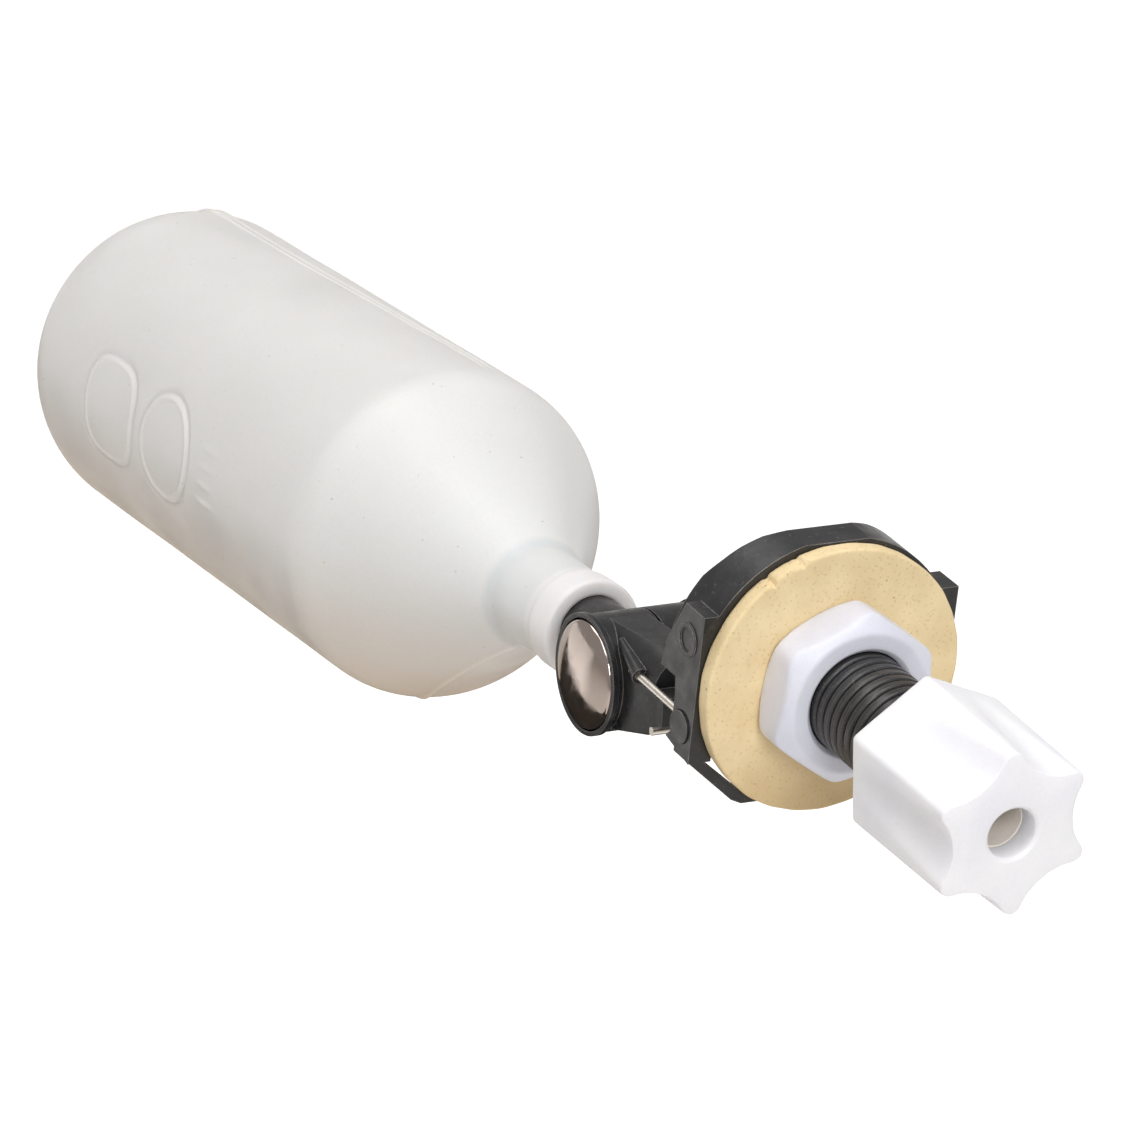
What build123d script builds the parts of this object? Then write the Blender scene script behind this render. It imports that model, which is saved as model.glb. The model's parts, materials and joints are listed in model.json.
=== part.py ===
from build123d import *
import os
from math import cos, radians, sin, sqrt, tan

# Miniature tank float valve. Millimetres. The origin is the centre of the gasket's sealing face,
# +X runs out along the threaded stem towards the tube, +Z is up and the hinge axis lies along Y.

os.makedirs("parts", exist_ok=True)

# ---------------------------------------------------------------- driving dimensions
THREAD_RADIUS = 7.14            # 9/16 in stem
THREAD_PITCH = 1.75
THREAD_DEPTH = 0.80
STEM_END_X = 38.5
TUBE_RADIUS = 3.3               # bore that takes 1/4 in (6.35 mm) tube
WATER_RADIUS = 2.0
THREAD_CLEARANCE = 0.12         # between the stem's crest and anything that turns on it

GASKET_RADIUS = 19.0
GASKET_THICKNESS = 2.5

PLATE_BACK_X = -5.0             # back of the flange's front plate
RIM_RADIUS = 19.6
RIM_CENTRE_Y = -0.35            # the flange is moulded a little off the stem's axis
RIM_WALL = 1.8
RIM_BACK_X = -10.4
FLAT_Z = 19.0                   # flat on top of the rim
LUG_Y = 19.2                    # flat outer face of each lug
LUG_INNER_Y = 15.8
LUG_Z = 10.3
STRAP_BACK_X = -6.5

HINGE_X = -5.55
HINGE_Z = -6.7
HINGE_PIN_RADIUS = 1.0
OPEN_ANGLE = 14.0               # lever travel between fully open (as built) and shut
BOSS_RADIUS = 2.3
BOSS_HEIGHT = 0.3               # how far plugs and bosses stand out of the lug's face
UPPER_BOSS_X = -6.15
UPPER_BOSS_Z = 5.6

NOZZLE_TIP_X = -9.0
NOZZLE_RADIUS = 3.0
ORIFICE_RADIUS = 1.1
SEAT_GAP = 0.06                 # left between seat and nozzle tip when shut
SEAT_RADIUS = 3.2
SEAT_THICKNESS = 2.0

BARREL_X = -49.4                # axis of the cross barrel that joins lever and float
BARREL_Z = -20.7
BARREL_RADIUS = 8.3
BARREL_HALF = 9.2
BEAD_RADIUS = 8.65
BEAD_WIDTH = 0.9
SEAM_Y = 0.6                    # middle of the gap between the two knuckles
SEAM_HALF = 0.2                 # half of that gap
BOLT_RADIUS = 2.0
CAP_RADIUS = 7.95

FLOAT_RADIUS = 25.4
FLOAT_PITCH = 6.3               # how far the float droops at rest
FLOAT_AXIS_Z = -20.75           # height of the float's axis at BARREL_X
NECK_LIFT = 0.4                 # the neck's axis sits this far above the float's own axis
FLOAT_WALL = 1.1
FLOAT_END = 172.2               # distances along the float's axis, from BARREL_X rearwards
NECK_START = 14.9
COLLAR_LENGTH = 6.0
NECK_RADIUS = 7.2               # just behind the collar; the neck widens towards the shoulder
NECK_ROOT_RADIUS = 7.6
SHOULDER_ROOT_RADIUS = 6.3      # where the shoulder's cone starts, inside the neck
COLLAR_RADIUS = 7.8
NECK_END = 32.7                 # where the neck runs into the shoulder's cone
SHOULDER_ANGLE = 32.2           # slope of the cone
SHOULDER_BEND = 12.0            # radius that rounds the cone into the body
SHOULDER_END = 63.5
REAR_CORNER = 17.6
PLUG_RADIUS = 5.1
STUB_RADIUS = 5.2

NUT_BACK_X = 23.7
NUT_FRONT_X = 45.9
NUT_BACK_CORNER = 12.3
NUT_TURN = 37.4                 # angle of one corner from +Y towards +Z
LOCKNUT_LENGTH = 7.2
LOCKNUT_CORNER = 12.65
LOCKNUT_TURN = 24.6


def at_y(y):
    """Side-view sketch plane at Y = y; it faces -Y, and its axes are the part's X and Z."""
    return Plane.XZ.offset(-y)


def lever_side(y):
    """Side-view plane centred on the hinge and turned with the lever, so shut is upright."""
    turn = radians(OPEN_ANGLE)
    return Plane(origin=(HINGE_X, y, HINGE_Z), x_dir=(cos(turn), 0, sin(turn)), z_dir=(0, -1, 0))


def float_side(lift):
    """Half-section plane, lift above the float's axis: x runs rearwards, y is the radius."""
    droop = radians(FLOAT_PITCH)
    return Plane(
        origin=(BARREL_X, 0, FLOAT_AXIS_Z + lift), x_dir=(-cos(droop), 0, -sin(droop)), z_dir=(0, 1, 0)
    )


BODY_SIDE = float_side(0)
NECK_SIDE = float_side(NECK_LIFT)
BODY_AXIS = Axis(BODY_SIDE.origin, BODY_SIDE.x_dir)
NECK_AXIS = Axis(NECK_SIDE.origin, NECK_SIDE.x_dir)


BARREL_AXIS = Axis((BARREL_X, 0, BARREL_Z), (0, 1, 0))
BARREL_SECTION = Plane(origin=(BARREL_X, 0, BARREL_Z), x_dir=(1, 0, 0), z_dir=(0, 0, 1))
SEAT_HEIGHT = -HINGE_Z
SEAT_FRONT = NOZZLE_TIP_X - SEAT_GAP - HINGE_X
SEAT_BACK = SEAT_FRONT - SEAT_THICKNESS
SEAT_PLANE = Plane(
    origin=lever_side(0).from_local_coords((SEAT_BACK, SEAT_HEIGHT, 0)),
    x_dir=(0, 1, 0),
    z_dir=lever_side(0).x_dir,
)


def thread_crests(first_x, last_x, crest_radius, root_radius):
    """Half-section points of broad crests with narrow grooves between, in the (x, radius) sketch."""
    points = []
    turns = int((last_x - first_x) / THREAD_PITCH)
    for turn in range(turns):
        x = first_x + turn * THREAD_PITCH
        points.append((x + 0.06 * THREAD_PITCH, crest_radius))
        points.append((x + 0.52 * THREAD_PITCH, crest_radius))
        points.append((x + 0.62 * THREAD_PITCH, crest_radius - 0.14))
        points.append((x + 0.78 * THREAD_PITCH, root_radius))
        points.append((x + 0.88 * THREAD_PITCH, root_radius))
        points.append((x + THREAD_PITCH, crest_radius - 0.10))
    points.append((first_x + turns * THREAD_PITCH + 0.1, crest_radius))
    return points


# ---------------------------------------------------------------- valve body
BORE_STEP_X = 28.0              # where the tube socket ends and the water passage starts
NOZZLE_SEAT_X = -2.0            # bottom of the nozzle's socket
COLUMN_RADIUS = 4.0
COLUMN_END_X = -8.0
PLUG_SEAT_DEPTH = 0.8           # depth of each counterbore for a pin plug

stem_profile = [
    (COLUMN_END_X, NOZZLE_RADIUS),
    (NOZZLE_SEAT_X, NOZZLE_RADIUS),
    (NOZZLE_SEAT_X, WATER_RADIUS),
    (BORE_STEP_X, WATER_RADIUS),
    (BORE_STEP_X, TUBE_RADIUS),
    (STEM_END_X - 1.4, TUBE_RADIUS),
    (STEM_END_X, TUBE_RADIUS + 1.4),
    (STEM_END_X, THREAD_RADIUS - THREAD_DEPTH),
    *reversed(thread_crests(3.0, STEM_END_X - 0.6, THREAD_RADIUS, THREAD_RADIUS - THREAD_DEPTH)),
    (-GASKET_THICKNESS - 0.3, THREAD_RADIUS),
    (-GASKET_THICKNESS - 0.3, COLUMN_RADIUS + 0.01),
    (COLUMN_END_X, COLUMN_RADIUS + 0.01),
]

lug_outline = [
    (-GASKET_THICKNESS, LUG_Z),
    (-7.5, LUG_Z),
    (-11.3, 3.5),
    (-12.2, -0.6),
    (-8.2, -0.6),
    (-7.75, -3.0),
    (-7.75, -8.2),
    (-9.0, -9.5),
    (-GASKET_THICKNESS, -LUG_Z - 0.5),
]

# Lower strap: half of its outline in (y, z), outer edge then inner edge
strap_outer = [(LUG_Y, -9.0), (LUG_Y, -10.6), (12.0, -16.95), (10.4, -17.7)]
strap_inner = [(9.9, -16.6), (17.3, -10.4), (17.3, -9.0)]
STRAP_LOW_Z = -17.8
STRAP_TOP_Z = -16.6

# Opening in the plate for the lever's hub and the hinge spacers
WINDOW_LOW_Z = -9.0
WINDOW_TOP_Z = -4.15

with BuildPart() as valve_body:
    with BuildSketch(Plane.XZ):
        with BuildLine():
            Polyline(*stem_profile, close=True)
        make_face()
    revolve(axis=Axis.X)

    # Front plate: round, with a flat on top, and cut off level below the lugs
    with BuildSketch(Plane.YZ.offset(PLATE_BACK_X)):
        with Locations((RIM_CENTRE_Y, 0)):
            Circle(RIM_RADIUS)
        with Locations((0, (FLAT_Z - LUG_Z) / 2)):
            Rectangle(2 * LUG_Y, FLAT_Z + LUG_Z, mode=Mode.INTERSECT)
        Circle(COLUMN_RADIUS, mode=Mode.SUBTRACT)
        with Locations((0, (WINDOW_LOW_Z + WINDOW_TOP_Z) / 2)):
            Rectangle(2 * LUG_INNER_Y, WINDOW_TOP_Z - WINDOW_LOW_Z, mode=Mode.SUBTRACT)
    extrude(amount=-GASKET_THICKNESS - PLATE_BACK_X)

    # Rim behind the plate, from just below the middle to the flat on top
    with BuildSketch(Plane.YZ.offset(RIM_BACK_X)):
        with Locations((RIM_CENTRE_Y, 0)):
            Circle(RIM_RADIUS)
            Circle(RIM_RADIUS - RIM_WALL, mode=Mode.SUBTRACT)
        with Locations((0, (FLAT_Z - 0.6) / 2)):
            Rectangle(2 * LUG_Y, FLAT_Z + 0.6, mode=Mode.INTERSECT)
    extrude(amount=PLATE_BACK_X - RIM_BACK_X + 0.5)

    # The rim's top slopes away to its back edge
    with BuildSketch(at_y(RIM_RADIUS + 1)):
        with BuildLine():
            Polyline(
                (-7.6, FLAT_Z + 2), (-7.6, FLAT_Z), (-8.7, 18.0), (-9.3, 16.5), (-9.7, 14.6),
                (RIM_BACK_X, 12.5), (-12.0, 12.5), (-12.0, FLAT_Z + 2), close=True,
            )
        make_face()
    extrude(amount=2 * RIM_RADIUS + 2, mode=Mode.SUBTRACT)

    for side in (1, -1):
        # Lug that carries the hinge pin
        with BuildSketch(at_y(LUG_Y if side > 0 else -LUG_INNER_Y)):
            with BuildLine():
                Polyline(*lug_outline, close=True)
            make_face()
        extrude(amount=LUG_Y - LUG_INNER_Y)
        # Half of the lower strap
        with BuildSketch(Plane.YZ.offset(STRAP_BACK_X)):
            with BuildLine():
                half = strap_outer + [(0, STRAP_LOW_Z), (0, STRAP_TOP_Z)] + strap_inner
                Polyline(*[(side * y, z) for y, z in half], close=True)
            make_face()
        extrude(amount=-GASKET_THICKNESS - STRAP_BACK_X)
        # Upper moulded boss, a low ring on the lug's face
        with BuildSketch(at_y(side * (LUG_Y - 0.2))):
            with Locations((UPPER_BOSS_X, UPPER_BOSS_Z)):
                Circle(BOSS_RADIUS)
                Circle(BOSS_RADIUS - 0.6, mode=Mode.SUBTRACT)
        extrude(amount=-side * (BOSS_HEIGHT + 0.2))

    # Hinge pin hole and the counterbores for its end plugs
    with BuildSketch(at_y(LUG_Y)):
        with Locations((HINGE_X, HINGE_Z)):
            Circle(HINGE_PIN_RADIUS + 0.01)
    extrude(amount=2 * LUG_Y, mode=Mode.SUBTRACT)
    for near_face in (LUG_Y + PLUG_SEAT_DEPTH, -LUG_Y + PLUG_SEAT_DEPTH):
        with BuildSketch(at_y(near_face)):
            with Locations((HINGE_X, HINGE_Z)):
                Circle(BOSS_RADIUS)
        extrude(amount=2 * PLUG_SEAT_DEPTH, mode=Mode.SUBTRACT)
valve_body.part.label = "valve_body"
export_step(valve_body.part, "parts/valve_body.step")

# ---------------------------------------------------------------- gasket and locknut
with BuildPart() as gasket_washer:
    with BuildSketch(Plane.YZ.offset(-GASKET_THICKNESS)):
        Circle(GASKET_RADIUS)
        Circle(THREAD_RADIUS + THREAD_CLEARANCE, mode=Mode.SUBTRACT)
    extrude(amount=GASKET_THICKNESS)
    outer_rims = gasket_washer.edges().filter_by(GeomType.CIRCLE).sort_by(SortBy.RADIUS)[-2:]
    fillet(outer_rims, 0.5)
gasket_washer.part.label = "gasket_washer"
export_step(gasket_washer.part, "parts/gasket_washer.step")

LOCKNUT_ROUND_RADIUS = 12.4     # radius that the rounded corners are turned to
with BuildPart() as locknut:
    with BuildSketch(Plane.YZ):
        RegularPolygon(LOCKNUT_CORNER, 6, rotation=LOCKNUT_TURN)
        Circle(THREAD_RADIUS + THREAD_CLEARANCE, mode=Mode.SUBTRACT)
    extrude(amount=LOCKNUT_LENGTH)
    fillet(locknut.edges().filter_by(Axis.X), 1.5)
    # Round chamfers on the back and front corners
    with BuildSketch(Plane.XZ):
        with BuildLine():
            Polyline(
                (0, 0), (0, LOCKNUT_ROUND_RADIUS - 1.2), (1.2, LOCKNUT_ROUND_RADIUS),
                (LOCKNUT_LENGTH - 1.8, LOCKNUT_ROUND_RADIUS),
                (LOCKNUT_LENGTH, LOCKNUT_ROUND_RADIUS - 2.4), (LOCKNUT_LENGTH, 0), close=True,
            )
        make_face()
    revolve(axis=Axis.X, mode=Mode.INTERSECT)
    # Countersink round the thread
    bore_edges = locknut.edges().filter_by(GeomType.CIRCLE).sort_by(SortBy.RADIUS)[:2]
    chamfer(bore_edges.sort_by(Axis.X)[-1], 0.3)
locknut.part.label = "locknut"
export_step(locknut.part, "parts/locknut.step")

# ---------------------------------------------------------------- nozzle and its O-ring
GROOVE_RADIUS = 2.2
with BuildPart() as orifice_nozzle:
    with BuildSketch(Plane.XZ):
        with BuildLine():
            Polyline(
                (NOZZLE_SEAT_X, ORIFICE_RADIUS), (NOZZLE_TIP_X, ORIFICE_RADIUS),
                (NOZZLE_TIP_X, ORIFICE_RADIUS + 0.5), (NOZZLE_TIP_X + 0.8, NOZZLE_RADIUS - 0.5),
                (COLUMN_END_X, NOZZLE_RADIUS), (-4.8, NOZZLE_RADIUS), (-4.8, GROOVE_RADIUS),
                (-3.4, GROOVE_RADIUS), (-3.4, NOZZLE_RADIUS), (NOZZLE_SEAT_X, NOZZLE_RADIUS),
                close=True,
            )
        make_face()
    revolve(axis=Axis.X)
orifice_nozzle.part.label = "orifice_nozzle"
export_step(orifice_nozzle.part, "parts/orifice_nozzle.step")

with BuildPart() as nozzle_o_ring:
    with BuildSketch(Plane.XZ):
        with Locations((-4.1, (GROOVE_RADIUS + NOZZLE_RADIUS) / 2)):
            Circle((NOZZLE_RADIUS - GROOVE_RADIUS) / 2 - 0.01)
    revolve(axis=Axis.X)
nozzle_o_ring.part.label = "nozzle_o_ring"
export_step(nozzle_o_ring.part, "parts/nozzle_o_ring.step")

# ---------------------------------------------------------------- hinge pin, plugs and spacers
PIN_HALF = LUG_Y - PLUG_SEAT_DEPTH - 0.1
HUB_HALF = 7.2
SPACER_RADIUS = 1.9
with BuildPart() as hinge_pin:
    with BuildSketch(at_y(PIN_HALF)):
        with Locations((HINGE_X, HINGE_Z)):
            Circle(HINGE_PIN_RADIUS)
    extrude(amount=2 * PIN_HALF)
hinge_pin.part.label = "hinge_pin"
export_step(hinge_pin.part, "parts/hinge_pin.step")

with BuildPart() as pin_plugs:
    for near_face in (LUG_Y + BOSS_HEIGHT, -LUG_Y + PLUG_SEAT_DEPTH):
        with BuildSketch(at_y(near_face)):
            with Locations((HINGE_X, HINGE_Z)):
                Circle(BOSS_RADIUS - 0.02)
        extrude(amount=BOSS_HEIGHT + PLUG_SEAT_DEPTH)
pin_plugs.part.label = "pin_plugs"
export_step(pin_plugs.part, "parts/pin_plugs.step")

with BuildPart() as hinge_spacers:
    for near_face in (LUG_INNER_Y - 0.1, -HUB_HALF - 0.1):
        with BuildSketch(at_y(near_face)):
            with Locations((HINGE_X, HINGE_Z)):
                Circle(SPACER_RADIUS)
                Circle(HINGE_PIN_RADIUS + 0.02, mode=Mode.SUBTRACT)
        extrude(amount=LUG_INNER_Y - HUB_HALF - 0.2)
hinge_spacers.part.label = "hinge_spacers"
export_step(hinge_spacers.part, "parts/hinge_spacers.step")

# ---------------------------------------------------------------- lever arm
HUB_RADIUS = 2.0
BOLT_HEAD_RADIUS = 3.5
BOLT_SEAT_Y = 6.0               # depth that the bolt's head and nut are let in to, each side
CAP_SEAT_Y = 8.2
HEAD_BACK = SEAT_BACK - 2.6
HEAD_TOP = SEAT_HEIGHT + SEAT_RADIUS + 0.8
BLOCK_HALF = 8.6                # half width of the block behind the seat
SPINE_HALF = 3.6
PLATE_OUTER_Y = -7.5            # outer face of the plate beside the float's knuckle
PLATE_INNER_Y = -0.2
FORK_THICKNESS = 1.6
WIRE_RADIUS = 0.6
WIRE_Y = -8.0
WIRE_Z = -15.1
WIRE_REAR_X = -38.5
WIRE_FRONT_X = -18.0
CROSS_PIN_X = -30.95
CROSS_PIN_Z = -20.85
CROSS_PIN_RADIUS = 0.6
CROSS_PIN_START_Y = -8.4

# Lower front of the fork, with the heel that meets the plate's back when the lever is open
heel = [(-0.9, -2.6), (-0.4, -3.3), (-0.62, -4.15), (HEAD_BACK, -4.6)]

# Plate beside the float's knuckle: side outline, then its upper outer corner well rounded
PLATE_TOP_Z = -11.0
PLATE_CORNER = 4.6
plate_outline = [
    (BARREL_X, BARREL_Z + BARREL_RADIUS), (-32.7, PLATE_TOP_Z), (-32.9, -15.6), (-30.3, -15.9),
    (-29.9, -20.0), (-33.2, -22.6), (BARREL_X + 5.8, BARREL_Z - 5.9), (BARREL_X, BARREL_Z),
]
with BuildPart() as lever_plate:
    with BuildSketch(at_y(PLATE_INNER_Y)):
        with BuildLine():
            Polyline(*plate_outline, close=True)
        make_face()
    extrude(amount=PLATE_INNER_Y - PLATE_OUTER_Y)
    plate_height = 2 * BARREL_RADIUS
    with BuildSketch(Plane.YZ.offset(BARREL_X - 1)):
        with Locations(((PLATE_OUTER_Y + PLATE_INNER_Y) / 2, PLATE_TOP_Z - plate_height / 2)):
            section = Rectangle(PLATE_INNER_Y - PLATE_OUTER_Y, plate_height)
        fillet(section.vertices().group_by(Axis.Y)[-1].sort_by(Axis.X)[0], PLATE_CORNER)
    extrude(amount=plate_height + BARREL_RADIUS, mode=Mode.INTERSECT)

with BuildPart() as lever_arm:
    # Hub on the hinge pin
    with BuildSketch(at_y(HUB_HALF)):
        with Locations((HINGE_X, HINGE_Z)):
            Circle(HUB_RADIUS)
    extrude(amount=2 * HUB_HALF)
    # Fork cheeks that reach past the nozzle column to the head
    for near_face in (HUB_HALF, -HUB_HALF + FORK_THICKNESS):
        with BuildSketch(lever_side(near_face)):
            with BuildLine():
                Polyline(
                    (1.6, 0.9), (0, -1.9), *heel,
                    (HEAD_BACK, HEAD_TOP), (SEAT_BACK, HEAD_TOP), (SEAT_BACK, 4.0), close=True,
                )
            make_face()
        extrude(amount=FORK_THICKNESS)
    # Head plate that backs the seat, with the heel along its lower edge
    with BuildSketch(lever_side(HUB_HALF)):
        with BuildLine():
            Polyline(
                (SEAT_BACK, HEAD_TOP), (SEAT_BACK, -1.0), *heel, (HEAD_BACK, HEAD_TOP), close=True,
            )
        make_face()
    extrude(amount=2 * HUB_HALF)
    # Block behind the head
    with BuildSketch(at_y(BLOCK_HALF)):
        with BuildLine():
            Polyline(
                (-13.4, -3.0), (-22.0, -7.2), (-22.0, -18.0), (-12.6, -13.2), close=True,
            )
        make_face()
    extrude(amount=2 * BLOCK_HALF)
    # Spine back to the plate
    with BuildSketch(at_y(SPINE_HALF)):
        with BuildLine():
            Polyline((-20.0, -8.2), (-34.5, -12.6), (-34.5, -21.6), (-20.0, -16.6), close=True)
        make_face()
    extrude(amount=2 * SPINE_HALF)
    # Plate and knuckle beside the float's knuckle
    add(lever_plate.part)
    with BuildSketch(at_y(SEAM_Y - SEAM_HALF)):
        with Locations((BARREL_X, BARREL_Z)):
            Circle(BARREL_RADIUS)
    extrude(amount=BARREL_HALF + SEAM_Y - SEAM_HALF)
    with BuildSketch(at_y(-BARREL_HALF + BEAD_WIDTH)):
        with Locations((BARREL_X, BARREL_Z)):
            Circle(BEAD_RADIUS)
    extrude(amount=BEAD_WIDTH)
    # Clear the float's own knuckle, its cap and the swing of its stub
    with BuildSketch(at_y(BARREL_HALF + 1)):
        with Locations((BARREL_X, BARREL_Z)):
            Circle(BEAD_RADIUS + 0.9)
    extrude(amount=BARREL_HALF + 1 - SEAM_Y + SEAM_HALF, mode=Mode.SUBTRACT)
    # Moulded sleeve over the rear end of the wire
    sleeve_start = Vector(-44.2, PLATE_OUTER_Y + 0.6, -13.4)
    sleeve_end = Vector(-36.3, WIRE_Y + 0.1, WIRE_Z)
    sleeve_run = sleeve_end - sleeve_start
    with BuildSketch(Plane(origin=sleeve_start, z_dir=sleeve_run)):
        Circle(0.5)
    with BuildSketch(Plane(origin=sleeve_end, z_dir=sleeve_run)):
        Circle(1.25)
    loft()
    # Bores: hinge pin, clamp bolt, bolt head, cap recess, wire and cross pin
    with BuildSketch(at_y(HUB_HALF + 1)):
        with Locations((HINGE_X, HINGE_Z)):
            Circle(HINGE_PIN_RADIUS + 0.04)
    extrude(amount=2 * HUB_HALF + 2, mode=Mode.SUBTRACT)
    for radius, near_face, depth in (
        (BOLT_RADIUS + 0.01, SEAM_Y, BARREL_HALF),
        (BOLT_HEAD_RADIUS + 0.2, -BOLT_SEAT_Y, BARREL_HALF - BOLT_SEAT_Y),
        (CAP_RADIUS + 0.03, -CAP_SEAT_Y, BARREL_HALF - CAP_SEAT_Y),
    ):
        with BuildSketch(at_y(near_face)):
            with Locations((BARREL_X, BARREL_Z)):
                Circle(radius)
        extrude(amount=depth, mode=Mode.SUBTRACT)
    with BuildSketch(Plane.YZ.offset(WIRE_REAR_X)):
        with Locations((WIRE_Y, WIRE_Z)):
            Circle(WIRE_RADIUS + 0.01)
    extrude(amount=WIRE_FRONT_X - WIRE_REAR_X, mode=Mode.SUBTRACT)
    with BuildSketch(at_y(SPINE_HALF)):
        with Locations((CROSS_PIN_X, CROSS_PIN_Z)):
            Circle(CROSS_PIN_RADIUS + 0.01)
    extrude(amount=SPINE_HALF + BARREL_HALF, mode=Mode.SUBTRACT)
lever_arm.part.label = "lever_arm"
export_step(lever_arm.part, "parts/lever_arm.step")

with BuildPart() as seat_disc:
    with BuildSketch(SEAT_PLANE):
        Circle(SEAT_RADIUS)
    extrude(amount=SEAT_THICKNESS)
seat_disc.part.label = "seat_disc"
export_step(seat_disc.part, "parts/seat_disc.step")

with BuildPart() as seat_retainer:
    with BuildSketch(SEAT_PLANE):
        Circle(SEAT_RADIUS + 1.0)
        Circle(SEAT_RADIUS + 0.02, mode=Mode.SUBTRACT)
    extrude(amount=SEAT_THICKNESS - 0.5)
seat_retainer.part.label = "seat_retainer"
export_step(seat_retainer.part, "parts/seat_retainer.step")

with BuildPart() as arm_wire:
    with BuildSketch(Plane.YZ.offset(WIRE_REAR_X)):
        with Locations((WIRE_Y, WIRE_Z)):
            Circle(WIRE_RADIUS)
    extrude(amount=WIRE_FRONT_X - WIRE_REAR_X)
arm_wire.part.label = "arm_wire"
export_step(arm_wire.part, "parts/arm_wire.step")

with BuildPart() as arm_cross_pin:
    with BuildSketch(at_y(SPINE_HALF)):
        with Locations((CROSS_PIN_X, CROSS_PIN_Z)):
            Circle(CROSS_PIN_RADIUS)
    extrude(amount=SPINE_HALF - CROSS_PIN_START_Y)
arm_cross_pin.part.label = "arm_cross_pin"
export_step(arm_cross_pin.part, "parts/arm_cross_pin.step")

# ---------------------------------------------------------------- clamp bolt, nut, washer, caps
BOLT_HEAD_FACE = 8.1
NUT_CORNER = 3.9
NUT_THICKNESS = 1.8
WASHER_RADIUS = 6.6
with BuildPart() as clamp_bolt:
    with BuildSketch(at_y(BOLT_HEAD_FACE)):
        with Locations((BARREL_X, BARREL_Z)):
            Circle(BOLT_RADIUS)
    extrude(amount=2 * BOLT_HEAD_FACE)
    with BuildSketch(at_y(-BOLT_SEAT_Y - 0.05)):
        with Locations((BARREL_X, BARREL_Z)):
            Circle(BOLT_HEAD_RADIUS)
    extrude(amount=BOLT_HEAD_FACE - BOLT_SEAT_Y - 0.05)
clamp_bolt.part.label = "clamp_bolt"
export_step(clamp_bolt.part, "parts/clamp_bolt.step")

with BuildPart() as clamp_nut:
    with BuildSketch(at_y(BOLT_HEAD_FACE - 0.2)):
        with Locations((BARREL_X, BARREL_Z)):
            RegularPolygon(NUT_CORNER, 6)
            Circle(BOLT_RADIUS + 0.01, mode=Mode.SUBTRACT)
    extrude(amount=NUT_THICKNESS)
clamp_nut.part.label = "clamp_nut"
export_step(clamp_nut.part, "parts/clamp_nut.step")

with BuildPart() as friction_washer:
    with BuildSketch(at_y(SEAM_Y + SEAM_HALF - 0.01)):
        with Locations((BARREL_X, BARREL_Z)):
            Circle(WASHER_RADIUS)
            Circle(BOLT_RADIUS + 0.05, mode=Mode.SUBTRACT)
    extrude(amount=2 * SEAM_HALF - 0.04)
friction_washer.part.label = "friction_washer"
export_step(friction_washer.part, "parts/friction_washer.step")

# Polished dome caps: a flat skirt inside the knuckle and a shallow dome outside it
CAP_INNER_Y = 8.25
CAP_EDGE_Y = 9.3
CAP_CROWN_Y = 10.9


def dome_cap(side):
    """One cap, on the +Y end for side = 1 and on the -Y end for side = -1."""
    crown = CAP_CROWN_Y - CAP_EDGE_Y
    sphere_radius = (CAP_RADIUS**2 + crown**2) / (2 * crown)
    sphere_centre_y = CAP_CROWN_Y - sphere_radius
    halfway = sqrt(sphere_radius**2 - (CAP_RADIUS / 2) ** 2)
    with BuildPart() as cap:
        with BuildSketch(BARREL_SECTION):
            with BuildLine():
                Polyline(
                    (0, side * CAP_CROWN_Y), (0, side * CAP_INNER_Y),
                    (CAP_RADIUS, side * CAP_INNER_Y), (CAP_RADIUS, side * CAP_EDGE_Y),
                )
                ThreePointArc(
                    (CAP_RADIUS, side * CAP_EDGE_Y),
                    (CAP_RADIUS / 2, side * (sphere_centre_y + halfway)),
                    (0, side * CAP_CROWN_Y),
                )
            make_face()
        revolve(axis=BARREL_AXIS)
    return cap


cap_left = dome_cap(-1)
cap_left.part.label = "cap_left"
export_step(cap_left.part, "parts/cap_left.step")

cap_right = dome_cap(1)
cap_right.part.label = "cap_right"
export_step(cap_right.part, "parts/cap_right.step")

# ---------------------------------------------------------------- float knuckle with stub and plug
PLUG_END = 31.0
PLUG_GROOVE = (24.0, 25.6)
PLUG_GROOVE_RADIUS = 4.2

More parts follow.
